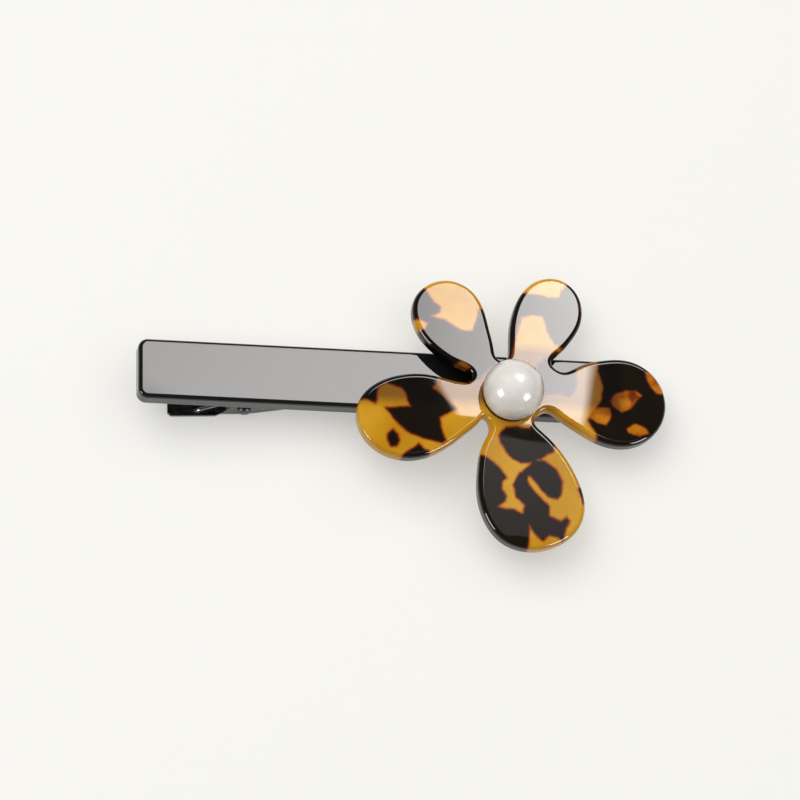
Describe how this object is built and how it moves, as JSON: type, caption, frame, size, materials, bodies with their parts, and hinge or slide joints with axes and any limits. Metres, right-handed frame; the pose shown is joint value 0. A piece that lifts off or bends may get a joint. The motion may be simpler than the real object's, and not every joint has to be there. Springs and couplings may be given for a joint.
{
  "type": "hair clip",
  "caption": "Alligator hair clip: glossy acetate bar carrying a domed tortoiseshell petal flower with a pearl bead at its centre, over a spring-loaded steel jaw.",
  "frame": {"origin": "under the centre of the whole clip's box, level with its lowest point, the press tab's tip", "axes": "+X along the bar from the press tab to the flower, +Y across the bar, +Z out of the bar's top face towards the pearl"},
  "size_m": [0.0876, 0.0472, 0.0228],
  "materials": {
    "black_acetate": "polished black cellulose acetate",
    "tortoiseshell": "polished amber and dark brown mottled cellulose acetate, slightly translucent",
    "pearl": "nacre coated imitation pearl, soft gloss",
    "gunmetal": "gunmetal plated sheet steel",
    "bright_steel": "plain steel",
    "spring_steel": "bright drawn spring wire"
  },
  "bodies": {
    "clip_base": {"acetate_bar": "black_acetate", "flower": "tortoiseshell", "flower_spacer": "black_acetate", "pearl": "pearl", "pearl_post": "bright_steel", "base_plate": "gunmetal", "plate_rivets": "bright_steel", "pivot_pin": "gunmetal", "torsion_spring": "spring_steel"},
    "clip_lever": {"lever": "gunmetal"}
  },
  "joints": [
    {"name": "lever_pivot", "type": "hinge", "parent": "clip_base", "child": "clip_lever", "pos_m": [-0.02541, 0.00547, 0.0044], "axis": [0, 1, 0], "range_deg": [0, 22], "stiffness_Nm_per_rad": 0.05, "springref_deg": -17.19, "deforming": ["torsion_spring"]}
  ]
}
